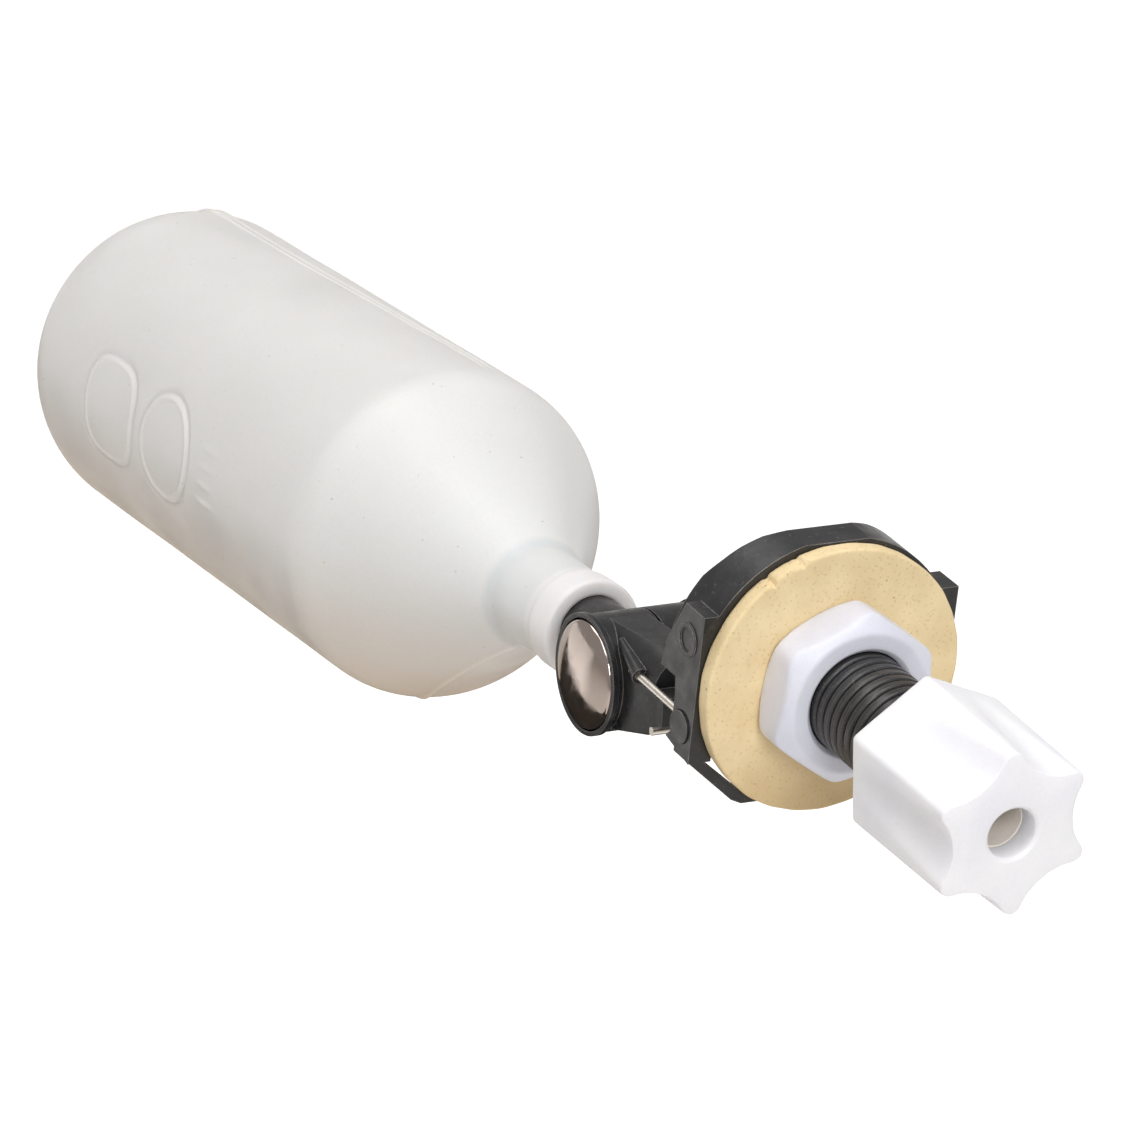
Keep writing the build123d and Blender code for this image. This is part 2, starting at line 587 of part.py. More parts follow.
with BuildPart() as float_knuckle:
    # Stub and plug along the neck's axis
    with BuildSketch(NECK_SIDE):
        with BuildLine():
            Polyline(
                (0, 0), (0, STUB_RADIUS), (NECK_START - 0.1, STUB_RADIUS),
                (NECK_START - 0.1, PLUG_RADIUS), (PLUG_GROOVE[0], PLUG_RADIUS),
                (PLUG_GROOVE[0], PLUG_GROOVE_RADIUS), (PLUG_GROOVE[1], PLUG_GROOVE_RADIUS),
                (PLUG_GROOVE[1], PLUG_RADIUS), (PLUG_END - 1, PLUG_RADIUS),
                (PLUG_END, PLUG_RADIUS - 1), (PLUG_END, 0), close=True,
            )
        make_face()
    revolve(axis=NECK_AXIS)
    # Keep the stub clear of the lever's knuckle
    with BuildSketch(at_y(SEAM_Y + SEAM_HALF)):
        with Locations((BARREL_X, BARREL_Z)):
            Circle(BEAD_RADIUS + 0.4)
    extrude(amount=BARREL_HALF, mode=Mode.SUBTRACT)
    # Knuckle with its end bead
    with BuildSketch(at_y(BARREL_HALF)):
        with Locations((BARREL_X, BARREL_Z)):
            Circle(BARREL_RADIUS)
    extrude(amount=BARREL_HALF - SEAM_Y - SEAM_HALF)
    with BuildSketch(at_y(BARREL_HALF)):
        with Locations((BARREL_X, BARREL_Z)):
            Circle(BEAD_RADIUS)
    extrude(amount=BEAD_WIDTH)
    for radius, near_face, depth in (
        (BOLT_RADIUS + 0.06, BARREL_HALF, BARREL_HALF),
        (NUT_CORNER + 0.4, BARREL_HALF, BARREL_HALF - BOLT_SEAT_Y + 0.2),
        (CAP_RADIUS + 0.03, BARREL_HALF, BARREL_HALF - CAP_SEAT_Y),
    ):
        with BuildSketch(at_y(near_face)):
            with Locations((BARREL_X, BARREL_Z)):
                Circle(radius)
        extrude(amount=depth, mode=Mode.SUBTRACT)
float_knuckle.part.label = "float_knuckle"
export_step(float_knuckle.part, "parts/float_knuckle.step")

with BuildPart() as plug_o_ring:
    with BuildSketch(NECK_SIDE):
        with Locations((sum(PLUG_GROOVE) / 2, (PLUG_GROOVE_RADIUS + PLUG_RADIUS) / 2)):
            Circle((PLUG_RADIUS - PLUG_GROOVE_RADIUS) / 2 - 0.01)
    revolve(axis=NECK_AXIS)
plug_o_ring.part.label = "plug_o_ring"
export_step(plug_o_ring.part, "parts/plug_o_ring.step")


# ---------------------------------------------------------------- blow-moulded float
NECK_BORE_RADIUS = PLUG_RADIUS + 0.02


def float_outline(inset, root):
    """Draw the bottle body's half-section, moved inwards by inset, from radius root rearwards."""
    radius = FLOAT_RADIUS - inset
    rear = FLOAT_END - inset
    corner = REAR_CORNER - inset
    bend = SHOULDER_BEND - inset
    slope = radians(SHOULDER_ANGLE)
    cone_end = SHOULDER_END - bend * sin(slope)
    cone_end_radius = radius - bend * (1 - cos(slope))
    cone_start = cone_end - (cone_end_radius - root) / tan(slope)
    Polyline((cone_start, 0), (cone_start, root), (cone_end, cone_end_radius))
    CenterArc((SHOULDER_END, radius - bend), bend, 90, SHOULDER_ANGLE)
    Line((SHOULDER_END, radius), (rear - corner, radius))
    CenterArc((rear - corner, radius - corner), corner, 0, 90)
    Polyline((rear, radius - corner), (rear, 0), (cone_start, 0))


with BuildPart() as float_shell:
    with BuildSketch(BODY_SIDE):
        with BuildLine():
            float_outline(0, SHOULDER_ROOT_RADIUS)
        make_face()
    revolve(axis=BODY_AXIS)
    # Neck with a collar round its open end, on its own axis
    with BuildSketch(NECK_SIDE):
        with BuildLine():
            Polyline(
                (NECK_START, 0), (NECK_START, COLLAR_RADIUS - 0.5),
                (NECK_START + 0.5, COLLAR_RADIUS), (NECK_START + COLLAR_LENGTH - 3, COLLAR_RADIUS),
                (NECK_START + COLLAR_LENGTH - 1, NECK_RADIUS), (NECK_END, NECK_ROOT_RADIUS),
                (NECK_END + 1, NECK_ROOT_RADIUS), (NECK_END + 1, 0), close=True,
            )
        make_face()
    revolve(axis=NECK_AXIS)
    # Hollow inside, open at the neck
    with BuildSketch(BODY_SIDE):
        with BuildLine():
            float_outline(FLOAT_WALL, NECK_BORE_RADIUS)
        make_face()
    revolve(axis=BODY_AXIS, mode=Mode.SUBTRACT)
    with BuildSketch(NECK_SIDE):
        with BuildLine():
            Polyline(
                (NECK_START - 1, 0), (NECK_START - 1, NECK_BORE_RADIUS),
                (NECK_END, NECK_BORE_RADIUS), (NECK_END, 0), close=True,
            )
        make_face()
    revolve(axis=NECK_AXIS, mode=Mode.SUBTRACT)
float_shell.part.label = "float_shell"
export_step(float_shell.part, "parts/float_shell.step")

# ---------------------------------------------------------------- tube fitting
FERRULE_BACK_X = STEM_END_X + 0.1   # back of the ferrule's flange; its tail goes into the stem
FERRULE_TAIL_X = STEM_END_X - 0.8
FERRULE_FRONT_X = 42.2
NUT_BORE_END_X = 40.5
SCALLOP_RADIUS = 7.5
SCALLOP_BACK = (26.0, 18.2)     # scallop axis: (x, distance from the stem's axis)
SCALLOP_FRONT = (46.5, 16.15)

with BuildPart() as compression_nut:
    with BuildSketch(Plane.YZ.offset(NUT_BACK_X)):
        RegularPolygon(NUT_BACK_CORNER, 6, rotation=NUT_TURN)
    extrude(amount=NUT_FRONT_X - NUT_BACK_X, taper=0.9)
    corner_edges = compression_nut.edges().filter_by(lambda edge: edge.length > 20)
    fillet(corner_edges, 1.0)
    for index in range(6):
        angle = radians(NUT_TURN + 30 + 60 * index)
        outward = Vector(0, cos(angle), sin(angle))
        back = Vector(SCALLOP_BACK[0] - 3, 0, 0) + outward * (SCALLOP_BACK[1] + 0.3)
        front = Vector(SCALLOP_FRONT[0], 0, 0) + outward * SCALLOP_FRONT[1]
        with BuildSketch(Plane(origin=back, z_dir=front - back)):
            Circle(SCALLOP_RADIUS)
        extrude(amount=(front - back).length + 1, mode=Mode.SUBTRACT)
    # Inside: thread clearance, the cone over the ferrule and the tube hole
    with BuildSketch(Plane.XZ):
        with BuildLine():
            Polyline(
                (NUT_BACK_X, 0), (NUT_BACK_X, THREAD_RADIUS + 0.9),
                (NUT_BACK_X + 0.9, THREAD_RADIUS + THREAD_CLEARANCE),
                (NUT_BORE_END_X, THREAD_RADIUS + THREAD_CLEARANCE), (FERRULE_FRONT_X + 0.1, 4.4),
                (FERRULE_FRONT_X + 0.1, TUBE_RADIUS + 0.1), (NUT_FRONT_X - 0.5, TUBE_RADIUS + 0.1),
                (NUT_FRONT_X, TUBE_RADIUS + 0.6), (NUT_FRONT_X, 0), close=True,
            )
        make_face()
    revolve(axis=Axis.X, mode=Mode.SUBTRACT)
compression_nut.part.label = "compression_nut"
export_step(compression_nut.part, "parts/compression_nut.step")

with BuildPart() as ferrule:
    with BuildSketch(Plane.XZ):
        with BuildLine():
            Polyline(
                (FERRULE_TAIL_X, TUBE_RADIUS + 0.02), (FERRULE_FRONT_X, TUBE_RADIUS + 0.02),
                (FERRULE_FRONT_X, 4.1), (40.3, 6.4), (39.6, 6.4), (FERRULE_BACK_X, 5.0),
                (FERRULE_BACK_X, TUBE_RADIUS + 1.22), (FERRULE_TAIL_X, TUBE_RADIUS + 0.32), close=True,
            )
        make_face()
    revolve(axis=Axis.X)
ferrule.part.label = "ferrule"
export_step(ferrule.part, "parts/ferrule.step")
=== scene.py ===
"""Looks for the miniature float valve: moulded float, nylon nuts, foam gasket, caps and finishes.

Shapes are worked out in millimetres in the part's own frame and turned to metres when a mesh is
made. The origin is the centre of the gasket's sealing face, +X runs out along the stem, +Z is up.
"""

import json

import bpy
import numpy as np
from mathutils import Matrix, Vector


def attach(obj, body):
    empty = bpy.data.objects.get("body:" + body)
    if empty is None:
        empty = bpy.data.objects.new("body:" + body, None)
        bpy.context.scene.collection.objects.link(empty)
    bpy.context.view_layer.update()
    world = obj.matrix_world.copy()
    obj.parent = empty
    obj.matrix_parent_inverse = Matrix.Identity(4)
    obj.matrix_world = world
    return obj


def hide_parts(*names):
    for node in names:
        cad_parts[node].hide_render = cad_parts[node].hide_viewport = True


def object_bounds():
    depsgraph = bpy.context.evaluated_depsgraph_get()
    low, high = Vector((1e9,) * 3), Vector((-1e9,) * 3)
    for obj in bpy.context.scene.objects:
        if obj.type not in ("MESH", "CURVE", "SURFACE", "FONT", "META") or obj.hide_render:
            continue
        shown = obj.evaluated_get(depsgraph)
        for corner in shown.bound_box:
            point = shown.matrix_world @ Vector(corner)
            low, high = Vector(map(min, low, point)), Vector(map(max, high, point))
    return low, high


MM = 0.001
X_AXIS, Y_AXIS, Z_AXIS = np.eye(3)
FAR = 1e3                           # a radius beyond every surface
STEM_BORE = 7.27                    # radius of the holes that the stem goes through

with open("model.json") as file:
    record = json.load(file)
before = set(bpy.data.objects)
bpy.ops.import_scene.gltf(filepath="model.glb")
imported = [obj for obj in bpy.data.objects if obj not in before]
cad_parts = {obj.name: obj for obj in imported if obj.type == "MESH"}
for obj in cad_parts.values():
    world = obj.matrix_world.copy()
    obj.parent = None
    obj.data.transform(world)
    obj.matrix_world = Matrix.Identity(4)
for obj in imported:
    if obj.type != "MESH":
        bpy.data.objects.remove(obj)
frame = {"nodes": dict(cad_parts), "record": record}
nodes = frame["nodes"]
cad_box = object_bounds()


# ---------------------------------------------------------------- mesh helpers
def add_object(name, data):
    """A new object for a mesh, lamp or camera, linked into the scene."""
    made = bpy.data.objects.new(name, data)
    bpy.context.scene.collection.objects.link(made)
    return made


def axis_rings(origin, along, up, side, stations, radii, angles):
    """Points in rings round an axis, from arrays that broadcast to rows by columns."""
    stations, radii, angles = np.broadcast_arrays(stations, radii, angles)
    outward = np.cos(angles)[..., None] * up + np.sin(angles)[..., None] * side
    return origin + stations[..., None] * along + radii[..., None] * outward


def stem_rings(stations, radii, angles):
    """Points in rings round the stem's axis, with angles running from +Y towards +Z."""
    return axis_rings(np.zeros(3), X_AXIS, Y_AXIS, Z_AXIS, stations, radii, angles)


def skin(name, rings, loop=False):
    """A closed mesh over rings of points, with its last ring joined to the first or both capped."""
    rows, columns = rings.shape[:2]
    index = np.arange(rows * columns).reshape(rows, columns)
    following = np.roll(index, -1, axis=1)
    last = rows if loop else rows - 1
    quads = []
    for row in range(last):
        ahead = (row + 1) % rows
        quads.append(np.stack([index[row], following[row], following[ahead], index[ahead]], axis=1))
    faces = np.concatenate(quads).tolist()
    points = rings.reshape(-1, 3)
    if not loop:
        points = np.vstack([points, rings[0].mean(axis=0), rings[-1].mean(axis=0)])
        first_pole = rows * columns
        for column in range(columns):
            ahead = (column + 1) % columns
            faces.append([first_pole, int(index[0, ahead]), int(index[0, column])])
            faces.append([first_pole + 1, int(index[-1, column]), int(index[-1, ahead])])
    mesh = bpy.data.meshes.new(name)
    mesh.from_pydata((points * MM).tolist(), [], faces)
    mesh.validate()
    mesh.shade_smooth()
    point_faces_outwards(mesh)
    return add_object(name, mesh)


def point_faces_outwards(mesh):
    """Flip the faces if the closed mesh's signed volume comes out negative."""
    corners = np.array([v.co for v in mesh.vertices])
    mesh.calc_loop_triangles()
    first, second, third = (corners[[t.vertices[k] for t in mesh.loop_triangles]] for k in range(3))
    if np.einsum("ij,ij->", first, np.cross(second, third)) < 0:
        mesh.flip_normals()


# ---------------------------------------------------------------- lines and profiles
def along_polyline(points, step):
    """Points spaced step apart along a polyline."""
    points = np.asarray(points, float)
    lengths = np.concatenate([[0], np.cumsum(np.linalg.norm(np.diff(points, axis=0), axis=1))])
    where = np.linspace(0, lengths[-1], max(2, int(lengths[-1] / step) + 1))
    return np.column_stack([np.interp(where, lengths, points[:, k]) for k in (0, 1)])


def rounded(points, radius, step=0.05):
    """A polyline with its corners worn round, by averaging along its length; the ends stay put."""
    dense = along_polyline(points, step)
    reach = max(1, int(radius / step))
    weights = np.hanning(2 * reach + 3)[1:-1]
    weights /= weights.sum()
    smooth = dense.copy()
    for k in (0, 1):
        first = 2 * dense[0, k] - dense[reach:0:-1, k]
        last = 2 * dense[-1, k] - dense[-2:-reach - 2:-1, k]
        smooth[:, k] = np.convolve(np.concatenate([first, dense[:, k], last]), weights, "valid")
    return smooth


def soft_min(radii, sharpness):
    """The smallest of several radii, blended where two are close; higher is a tighter corner."""
    return sum(r ** -sharpness for r in radii) ** (-1 / sharpness)


def flat_directions(turn):
    """The angles that a hexagon's six flats face, turned by so much round its axis."""
    return [turn + np.radians(30 + 60 * k) for k in range(6)]


def hexagon(angles, apothem, turn, sharpness):
    """Radius of a hexagon with rounded corners, for angles round the axis."""
    edge_on = 0.2                   # cosine under which a flat faces too far away to count
    flats = []
    for direction in flat_directions(turn):
        facing = np.cos(angles - direction)
        flats.append(np.where(facing > edge_on, apothem / np.maximum(facing, edge_on), FAR))
    return soft_min(flats, sharpness)


def bump(value, width):
    """A smooth hump one unit high round value = 0."""
    return np.exp(-((value / width) ** 2))


def rise(value, start, length):
    """0 up to start, then a straight climb to 1 over length."""
    return np.clip((value - start) / length, 0, 1)


def wrapped(angle):
    """An angle brought between -pi and pi."""
    return np.mod(angle + np.pi, 2 * np.pi) - np.pi


# ---------------------------------------------------------------- materials
BLACK, WHITE = (0, 0, 0, 1), (1, 1, 1, 1)


def srgb(red, green, blue):
    """A linear colour from 0..255 display values."""
    values = np.array((red, green, blue)) / 255
    linear = np.where(values <= 0.04045, values / 12.92, ((values + 0.055) / 1.055) ** 2.4)
    return (*linear, 1.0)


class Finish:
    """A node material being put together round one Principled shader; depths are in mm."""

    def __init__(self, name, roughness, metallic=0.0):
        self.material = bpy.data.materials.new(name)
        self.material.use_nodes = True
        self.tree = self.material.node_tree
        self.shader = self.tree.nodes["Principled BSDF"]
        self.shader.inputs["Roughness"].default_value = roughness
        self.shader.inputs["IOR"].default_value = 1.5
        self.shader.inputs["Metallic"].default_value = metallic
        self.place = self.node("ShaderNodeTexCoord").outputs["Object"]

    def node(self, kind, **settings):
        made = self.tree.nodes.new(kind)
        for key, value in settings.items():
            setattr(made, key, value)
        return made

    def link(self, source, target):
        self.tree.links.new(source, target)

    def mapped(self, kind="POINT", **values):
        """Object coordinates moved, turned or scaled by a Mapping node."""
        made = self.node("ShaderNodeMapping", vector_type=kind)
        for key, value in values.items():
            made.inputs[key].default_value = value
        self.link(self.place, made.inputs["Vector"])
        return made.outputs["Vector"]

    def axis(self, source, letter):
        """One coordinate of a vector."""
        made = self.node("ShaderNodeSeparateXYZ")
        self.link(source, made.inputs["Vector"])
        return made.outputs[letter]

    def noise(self, scale, detail=3.0, place=None):
        made = self.node("ShaderNodeTexNoise")
        made.inputs["Scale"].default_value = scale
        made.inputs["Detail"].default_value = detail
        self.link(place or self.place, made.inputs["Vector"])
        return made.outputs["Fac"]

    def ramp(self, source, *stops):
        """A colour ramp; each stop is (position, colour)."""
        made = self.node("ShaderNodeValToRGB")
        band = made.color_ramp
        while len(band.elements) < len(stops):
            band.elements.new(0.5)
        for element, (position, colour) in zip(band.elements, stops):
            element.position = position
            element.color = colour
        self.link(source, made.inputs["Fac"])
        return made.outputs["Color"]

    def clouds(self, source, dark, pale):
        """Two colours, in 0..255 display values, run together by a noise."""
        return self.ramp(source, (0.3, srgb(*dark)), (0.7, srgb(*pale)))

    def specks(self, scale, detail, start, end):
        """A mask of scattered spots, where a noise is over start, and full from end."""
        return self.ramp(self.noise(scale, detail), (start, BLACK), (end, WHITE))

    def spread(self, source, low, high, from_low=0.0, from_high=1.0):
        """source rescaled from one range to another, held at the ends."""
        made = self.node("ShaderNodeMapRange")
        for key, value in (
            ("From Min", from_low), ("From Max", from_high), ("To Min", low), ("To Max", high),
        ):
            made.inputs[key].default_value = value
        self.link(source, made.inputs["Value"])
        return made.outputs["Result"]

    def fill(self, sockets, values):
        """Set each socket to a plain value or link it to a node's output."""
        for socket, value in zip(sockets, values):
            if isinstance(value, (int, float, tuple)):
                socket.default_value = value
            else:
                self.link(value, socket)

    def times(self, first, second):
        made = self.node("ShaderNodeMath", operation="MULTIPLY")
        self.fill(made.inputs, (first, second))
        return made.outputs["Value"]

    def mix(self, factor, first, second, blend="MIX"):
        made = self.node("ShaderNodeMix", data_type="RGBA", blend_type=blend)
        # The colour sockets come after those for numbers and vectors
        self.fill((made.inputs[0], made.inputs[6], made.inputs[7]), (factor, first, second))
        return made.outputs[2]

    def corner_normal(self, radius):
        """The surface normal, rounded along edges."""
        made = self.node("ShaderNodeBevel", samples=6)
        made.inputs["Radius"].default_value = radius * MM
        return made.outputs["Normal"]

    def relief(self, *layers, edges=None):
        """Bump from (height source, depth) layers, over normals rounded at the edges."""
        normal = self.corner_normal(edges) if edges else None
        for source, depth in layers:
            made = self.node("ShaderNodeBump")
            made.inputs["Strength"].default_value = 1.0
            made.inputs["Distance"].default_value = depth * MM
            self.link(source, made.inputs["Height"])
            if normal is not None:
                self.link(normal, made.inputs["Normal"])
            normal = made.outputs["Normal"]
        self.link(normal, self.shader.inputs["Normal"])

    def edge_mask(self, radius):
        """0 on open faces, rising to 1 along sharp outer and inner corners."""
        plain = self.node("ShaderNodeNewGeometry").outputs["Normal"]
        match = self.node("ShaderNodeVectorMath", operation="DOT_PRODUCT")
        self.link(self.corner_normal(radius), match.inputs[0])
        self.link(plain, match.inputs[1])
        return self.spread(match.outputs["Value"], 1.0, 0.0, 0.75, 0.995)

    def colour(self, source):
        """Base colour from source, with a fine grain that is slightly darker."""
        grain = self.spread(self.noise(2600, 2), 0.97, 1.0, 0.3, 0.6)
        tinted = self.mix(1.0, source, grain, blend="MULTIPLY")
        self.link(tinted, self.shader.inputs["Base Color"])

    def roughness(self, source):
        self.link(source, self.shader.inputs["Roughness"])

    def subsurface(self, weight, reach, scale):
        """Light scattered under the surface, with a reach for each of red, green and blue."""
        self.shader.inputs["Subsurface Weight"].default_value = weight
        self.shader.inputs["Subsurface Radius"].default_value = reach
        self.shader.inputs["Subsurface Scale"].default_value = scale * MM


def dark_pvc():
    """Glossy charcoal moulding with flow marks, dusty specks, and pale corners that are part wear,
    part painted highlight.
    """
    finish = Finish("dark_pvc", 0.32)
    flow = finish.noise(260, 4)
    base = finish.clouds(flow, (35, 35, 37), (50, 49, 50))
    dust = finish.spread(finish.specks(1400, 2, 0.66, 0.72), 0.0, 0.25)
    base = finish.mix(dust, base, srgb(120, 116, 110))
    # Pale colour along the edge mask: part wear, part painted highlight standing in for light
    # catching the edges
    worn = finish.times(finish.edge_mask(0.22), finish.spread(flow, 0.3, 0.9, 0.3, 0.7))
    finish.colour(finish.mix(worn, base, srgb(186, 183, 180)))
    finish.roughness(finish.spread(finish.noise(420, 5), 0.24, 0.42, 0.3, 0.7))
    finish.relief((finish.noise(900, 3), 0.02), (finish.noise(150, 2), 0.05), edges=0.26)
    return finish.material


def black_rubber():
    """Soft matt rubber for the seat disc and O-rings."""
    finish = Finish("black_rubber", 0.6)
    finish.colour(finish.clouds(finish.noise(900), (28, 28, 29), (44, 43, 43)))
    finish.roughness(finish.spread(finish.noise(600), 0.5, 0.75))
    finish.relief((finish.noise(2500, 4), 0.02), edges=0.15)
    return finish.material


def gasket_rubber():
    """Beige sponge rubber: fine pores, brown specks and a mottle, with painted shade darkening it
    towards the bottom.
    """
    finish = Finish("gasket_rubber", 0.7)
    mottle = finish.noise(160, 4)
    base = finish.clouds(mottle, (229, 205, 158), (243, 222, 178))
    pores = finish.node("ShaderNodeTexVoronoi", feature="F1")
    pores.inputs["Scale"].default_value = 1500
    finish.link(finish.place, pores.inputs["Vector"])
    pits = finish.spread(pores.outputs["Distance"], 1.0, 0.0, 0.05, 0.35)
    base = finish.mix(finish.times(pits, 0.28), base, srgb(176, 144, 96))
    specks = finish.specks(1500, 1, 0.74, 0.77)
    base = finish.mix(finish.times(specks, 0.55), base, srgb(128, 90, 52))
    # Painted shade: darker and browner towards the bottom, where the nuts shade the face from the
    # light above
    painted_shade = finish.spread(finish.axis(finish.place, "Z"), 0.0, 0.55, -4 * MM, -19 * MM)
    finish.colour(finish.mix(painted_shade, base, srgb(190, 158, 110)))
    finish.roughness(finish.spread(mottle, 0.6, 0.85))
    finish.relief((pits, -0.04), (finish.noise(700, 5), 0.05), edges=0.2)
    return finish.material


def white_nylon():
    """Bluish white moulding, faintly translucent, for the locknut."""
    finish = Finish("white_nylon", 0.38)
    finish.colour(finish.clouds(finish.noise(120, 3), (219, 221, 233), (231, 232, 243)))
    finish.roughness(finish.spread(finish.noise(500, 4), 0.3, 0.5))
    finish.subsurface(0.25, (1.0, 1.0, 1.3), 1.2)
    finish.relief((finish.noise(350, 3), 0.03))
    return finish.material


def white_acetal():
    """Brighter, slightly milky white for the compression nut."""
    finish = Finish("white_acetal", 0.46)
    finish.colour(finish.clouds(finish.noise(110, 3), (240, 240, 249), (248, 248, 254)))
    finish.roughness(finish.spread(finish.noise(450, 4), 0.38, 0.56))
    finish.subsurface(0.5, (1.1, 1.0, 1.1), 3.0)
    finish.relief((finish.noise(300, 3), 0.03))
    return finish.material


def cream_acetal():
    """Natural cream plastic for the ferrule, nozzle and washers."""
    finish = Finish("cream_acetal", 0.4)
    finish.colour(finish.clouds(finish.noise(300), (246, 238, 226), (251, 245, 236)))
    finish.roughness(finish.spread(finish.noise(700), 0.3, 0.5))
    finish.relief((finish.noise(900, 3), 0.015), edges=0.12)
    return finish.material


def stainless_steel():
    """Drawn wire and turned steel: fine scratches along X and a satin shine."""
    finish = Finish("stainless_steel", 0.28, metallic=1.0)
    finish.colour(finish.clouds(finish.noise(500), (240, 232, 220), (250, 245, 236)))
    lines = finish.noise(1.0, 4, place=finish.mapped(Scale=(60, 2400, 2400)))
    finish.roughness(finish.spread(lines, 0.2, 0.42))
    finish.relief((lines, 0.008), edges=0.1)
    return finish.material


def polished_steel():
    """Bright plated dome with the faintest ripple and fine pitting."""
    finish = Finish("polished_steel", 0.1, metallic=1.0)
    # The pinkish beige colour is painted reflection: a warm surround mirrored in the dome, put into
    # the metal's tint
    finish.colour(finish.clouds(finish.noise(90), (192, 178, 170), (202, 188, 180)))
    finish.roughness(finish.spread(finish.noise(700, 5), 0.06, 0.2, 0.35, 0.7))
    finish.relief((finish.noise(260, 2), 0.012), (finish.noise(3000, 4), 0.002))
    return finish.material


def natural_polyethylene(axis_start, axis_turn):
    """Milky blow-moulded plastic: waxy, blotchy, greyer at the neck where the plug sits inside."""
    finish = Finish("natural_polyethylene", 0.42)
    # Millimetres in the float's own axes: X is minus the distance along it, Z is up
    along = finish.mapped(
        "TEXTURE", Location=[v * MM for v in axis_start], Rotation=(0, axis_turn, 0),
        Scale=(MM, MM, MM),
    )
    rearwards = finish.spread(finish.axis(along, "X"), 0.0, 1.0, -15.0, -75.0)
    tone = finish.ramp(
        rearwards,
        (0.0, srgb(250, 244, 244)), (0.10, srgb(250, 246, 245)), (0.13, srgb(229, 232, 232)),
        (0.29, srgb(228, 230, 230)), (0.31, srgb(252, 247, 243)), (1.0, srgb(253, 245, 239)),
    )
    blotch = finish.spread(finish.noise(38, 3), 0.0, 0.3, 0.35, 0.7)
    tone = finish.mix(blotch, tone, srgb(242, 233, 225))
    # Painted shade: the wall is painted warmer and duller towards its underside, where less light
    # reaches it
    under = finish.spread(finish.axis(along, "Z"), 0.0, 0.85, 2.0, -25.0)
    tone = finish.mix(under, tone, srgb(230, 196, 168))
    specks = finish.specks(1100, 1, 0.775, 0.79)
    finish.colour(finish.mix(finish.times(specks, 0.3), tone, srgb(182, 158, 132)))
    finish.roughness(finish.spread(finish.noise(90, 5), 0.34, 0.55, 0.3, 0.7))
    finish.subsurface(0.6, (1.2, 1.0, 0.9), 4.5)
    drag = finish.noise(500, 3, place=finish.mapped(Scale=(0.15, 1.0, 1.0)))
    finish.relief((finish.noise(60, 3), 0.10), (drag, 0.03), (finish.noise(1600, 2), 0.006))
    return finish.material


FLOAT_PITCH = np.radians(6.3)
FLOAT_ORIGIN = np.array((-49.4, 0.0, -20.75))
FLOAT_ALONG = np.array((-np.cos(FLOAT_PITCH), 0.0, -np.sin(FLOAT_PITCH)))
FLOAT_UP = np.array((-np.sin(FLOAT_PITCH), 0.0, np.cos(FLOAT_PITCH)))

finishes = {
    "dark_pvc": dark_pvc(),
    "black_rubber": black_rubber(),
    "gasket_rubber": gasket_rubber(),
    "white_nylon": white_nylon(),
    "white_acetal": white_acetal(),
    "cream_acetal": cream_acetal(),
    "stainless_steel": stainless_steel(),
    "polished_steel": polished_steel(),
    "natural_polyethylene": natural_polyethylene(FLOAT_ORIGIN, -FLOAT_PITCH),
}

# Every CAD node takes its slot's finish; the built pieces below hide some of them
for entry in frame["record"]["subparts"]:
    node, slot = nodes[entry["node"]], entry["material_slot"]
    node.data.materials.clear()
    node.data.materials.append(finishes[slot])


def finish_piece(piece, body, node, slot):
    """Put a built piece on its body, in place of its CAD node and with its slot's finish."""
    piece.data.materials.append(finishes[slot])
    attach(piece, body)
    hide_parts(node)


# ---------------------------------------------------------------- float
# Distances run along the float's axis from the barrel's middle; columns start at the upper seam
WALL = 1.1
BODY_RADIUS = 25.18                 # bare skin, which the seams and raised marks stand proud of
FLOAT_BORE = 5.13
NECK_START, NECK_END, FLOAT_END = 14.9, 32.7, 171.8
NECK_LIFT = 0.4                     # how far the neck stands above the body's axis
SHOULDER_SLOPE, SHOULDER_BEND, SHOULDER_END = np.radians(32.2), 12.0, 63.5
REAR_CORNER = 17.5
PAD_CENTRE, OVAL_CENTRE, TICKS_CENTRE = 129.8, 108.8, 93.0
MARKS_FACING = np.radians(-85)


def bottle_section(inset, root):
    """Half-section, inset from the skin, from radius root on the cone to the closed end."""
    radius, last = BODY_RADIUS - inset, FLOAT_END - inset
    bend, corner = SHOULDER_BEND - inset, REAR_CORNER - inset
    sweep = np.linspace(0, 1, 40)
    turn = SHOULDER_SLOPE * (1 - sweep)
    shoulder = np.column_stack([
        SHOULDER_END - bend * np.sin(turn), radius - bend * (1 - np.cos(turn)),
    ])
    start = shoulder[0, 0] - (shoulder[0, 1] - root) / np.tan(SHOULDER_SLOPE)
    turn = np.pi / 2 * sweep
    rear = np.column_stack([
        last - corner * (1 - np.sin(turn)), radius - corner * (1 - np.cos(turn)),
    ])
    dish = [(last - 0.5, 3.0), (last - 0.7, 0.8)]
    return np.vstack([[(start, root)], shoulder, rear, dish])


def spaced_rows(line, spacing):
    """The points of a line that lie spacing(distance, radius) apart, with both of its ends."""
    chosen = [0]
    run = 0.0
    for k in range(1, len(line)):
        run += np.linalg.norm(line[k] - line[k - 1])
        if run >= spacing(*line[k]):
            chosen.append(k)
            run = 0.0
    if chosen[-1] != len(line) - 1:
        chosen.append(len(line) - 1)
    return line[chosen]


def outer_spacing(distance, radius):
    """Rows are close over the raised pad and oval and at the collar, and wide on the plain body."""
    if 96 < distance < 141 and radius > 24:
        return 0.3
    if distance < 24:
        return 0.4
    return 0.7 if distance < SHOULDER_END else 1.3


def float_columns():
    """Angles round the float, finer at both seams and over the raised marks."""
    seam_fine = np.arange(-3.2, 3.3, 0.32)
    marks_fine = np.arange(-122, -76, 0.62)
    columns = np.concatenate([
        seam_fine, np.arange(6.0, 175, 3.0), 180 + seam_fine, 360 + marks_fine,
        np.arange(186.0, 237, 3.0), np.arange(286.5, 356, 3.0),
    ])
    return np.radians(np.unique(np.round(columns, 3)))


